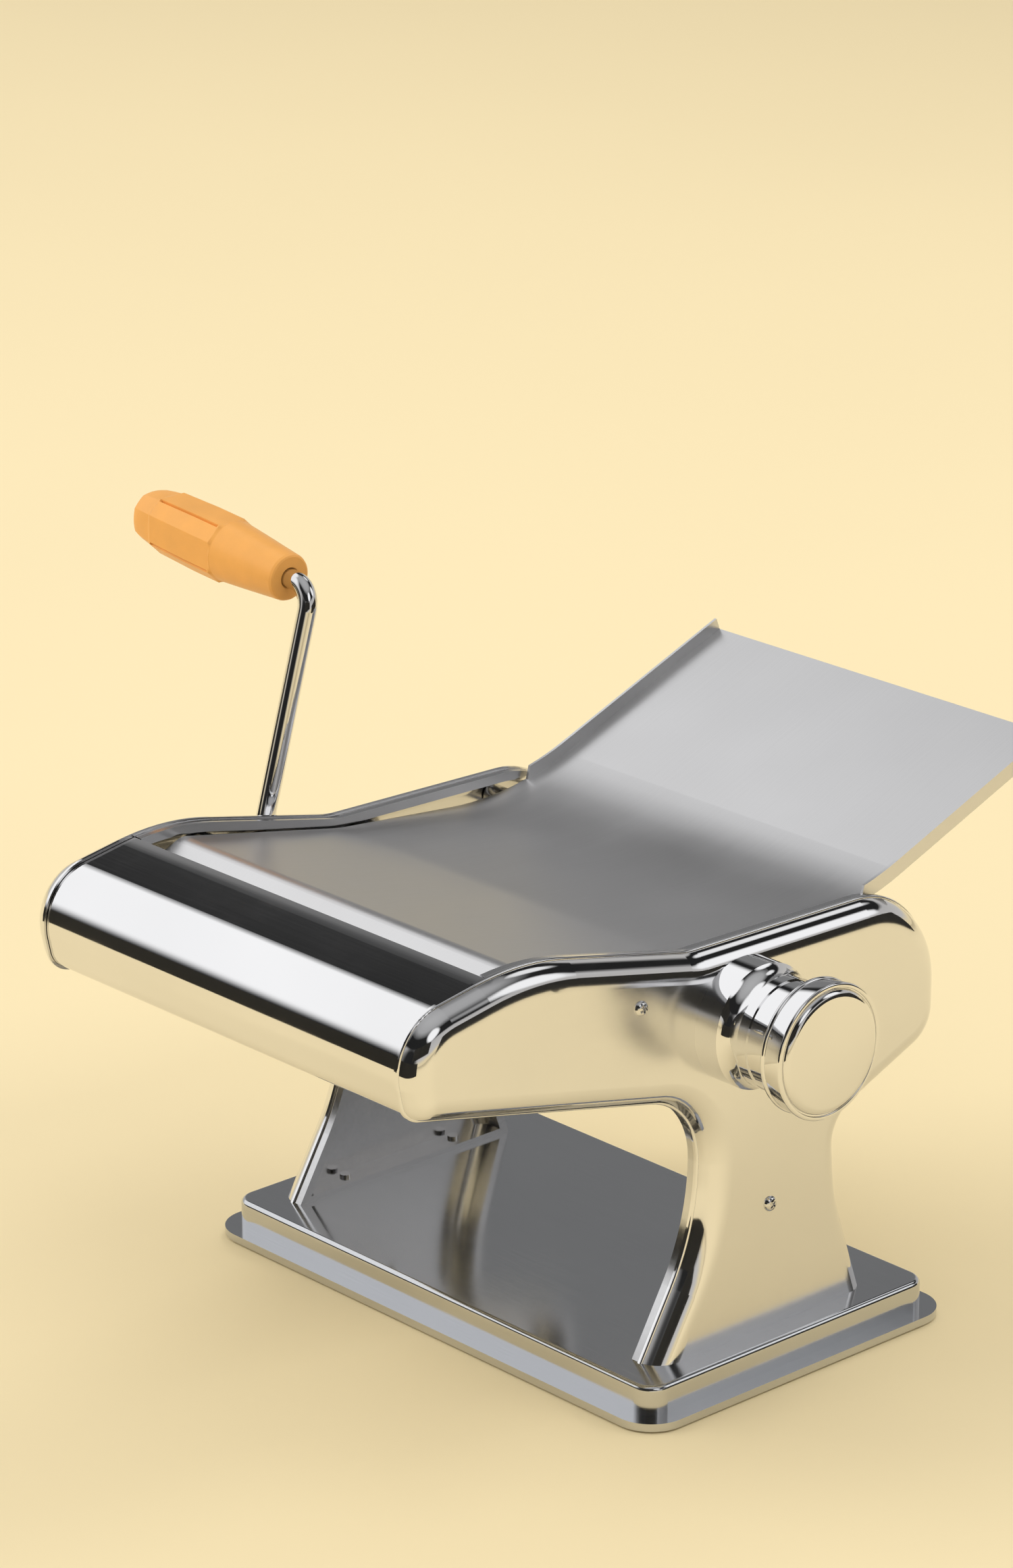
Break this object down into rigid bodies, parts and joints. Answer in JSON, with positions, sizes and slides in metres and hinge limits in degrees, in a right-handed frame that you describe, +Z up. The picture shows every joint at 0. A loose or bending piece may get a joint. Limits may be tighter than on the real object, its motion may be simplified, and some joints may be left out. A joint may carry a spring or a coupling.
{
  "type": "pasta roller machine",
  "caption": "Hand-cranked pasta machine: pillow-edged polished sides on a flat base, smooth rollers set by a side knob, a noodle cutter in the nose, a long feed tray and a bent crank.",
  "frame": {"origin": "middle of the base, on the plane of its four feet that the machine stands on", "axes": "+X along the rollers to the knob side, -Y towards the cutter nose, +Z up"},
  "size_m": [0.3461, 0.3124, 0.2488],
  "materials": {
    "casing_chrome": "mirror-polished chromed steel sheet",
    "tray_steel": "polished steel sheet with fine rolling lines",
    "base_chrome": "polished pressed steel, a little darker than the casings",
    "frame_steel": "bright zinc-plated steel",
    "screw_steel": "nickel-plated",
    "roller_metal": "smooth turned metal",
    "shaft_steel": "turned steel",
    "gear_steel": "cut steel",
    "bush_bronze": "plain bearing bronze",
    "bush_nylon": "plain nylon",
    "comb_plastic": "moulded plastic",
    "knob_chrome": "mirror-polished",
    "crank_chrome": "chromed rod",
    "grip_plastic": "soft-gloss orange plastic",
    "foot_rubber": "matt black rubber"
  },
  "bodies": {
    "body": {"base_plate": "base_chrome", "rubber_feet": "foot_rubber", "foot_screws": "screw_steel", "side_frame_left": "frame_steel", "side_frame_right": "frame_steel", "side_casing_left": "casing_chrome", "side_casing_right": "casing_chrome", "casing_screws_left": "screw_steel", "casing_screws_right": "screw_steel", "front_cover": "casing_chrome", "tie_rod_front": "frame_steel", "tie_rod_rear": "frame_steel", "tie_rod_lower": "frame_steel", "roller_bearings": "bush_nylon", "shaft_bearings": "bush_nylon", "cutter_bearings": "bush_nylon", "cutter_comb_front": "comb_plastic", "cutter_comb_rear": "comb_plastic", "scraper_front": "comb_plastic", "scraper_rear": "comb_plastic", "knob_boss": "knob_chrome"},
    "front_roller": {"roller_front": "roller_metal", "roller_gear_front": "gear_steel"},
    "crank": {"crank_rod": "crank_chrome", "grip_retainer": "crank_chrome"},
    "grip": {"crank_grip": "grip_plastic"},
    "shaft": {"eccentric_shaft": "shaft_steel"},
    "knob": {"knob": "knob_chrome", "index_pin": "shaft_steel"},
    "bushes": {"roller_bushes": "bush_bronze"},
    "rear_roller": {"roller_rear": "roller_metal", "roller_gear_rear": "gear_steel"},
    "rear_cutter": {"cutter_rear": "roller_metal", "cutter_gear_rear": "gear_steel"},
    "front_cutter": {"cutter_front": "roller_metal", "cutter_gear_front": "gear_steel"},
    "tray": {"feed_tray": "tray_steel"}
  },
  "joints": [
    {"name": "roller_turn", "type": "hinge", "parent": "body", "child": "front_roller", "pos_m": [0, -0.05055, 0.1305], "axis": [1, 0, 0], "continuous": true},
    {"name": "crank_pull", "type": "slide", "parent": "front_roller", "child": "crank", "axis": [-1, 0, 0], "range_m": [0, 0.03]},
    {"name": "grip_spin", "type": "hinge", "parent": "crank", "child": "grip", "pos_m": [-0.113, -0.02196, 0.23153], "axis": [-0.9969, 0.0214, 0.0755], "continuous": true},
    {"name": "thickness_turn", "type": "hinge", "parent": "body", "child": "shaft", "pos_m": [0, -0.017, 0.1305], "axis": [1, 0, 0], "range_deg": [0, 180]},
    {"name": "knob_pull", "type": "slide", "parent": "shaft", "child": "knob", "axis": [1, 0, 0], "range_m": [0, 0.004], "stiffness_N_per_m": 400},
    {"name": "bush_hold", "type": "hinge", "parent": "shaft", "child": "bushes", "pos_m": [0, -0.01575, 0.1305], "axis": [1, 0, 0], "range_deg": [-180, 0]},
    {"name": "rear_roller_turn", "type": "hinge", "parent": "bushes", "child": "rear_roller", "pos_m": [0, -0.01575, 0.1305], "axis": [1, 0, 0], "continuous": true},
    {"name": "cutter_turn", "type": "hinge", "parent": "body", "child": "rear_cutter", "pos_m": [0, -0.1178, 0.147], "axis": [1, 0, 0], "continuous": true},
    {"name": "cutter_front_turn", "type": "hinge", "parent": "body", "child": "front_cutter", "pos_m": [0, -0.1422, 0.147], "axis": [1, 0, 0], "continuous": true},
    {"name": "tray_lift", "type": "slide", "parent": "body", "child": "tray", "axis": [0, 0, 1], "range_m": [0, 0.06]}
  ],
  "couplings": [
    {"joint": "rear_roller_turn", "follows": "roller_turn", "ratio": -1},
    {"joint": "bush_hold", "follows": "thickness_turn", "ratio": -1},
    {"joint": "cutter_front_turn", "follows": "cutter_turn", "ratio": -1}
  ]
}
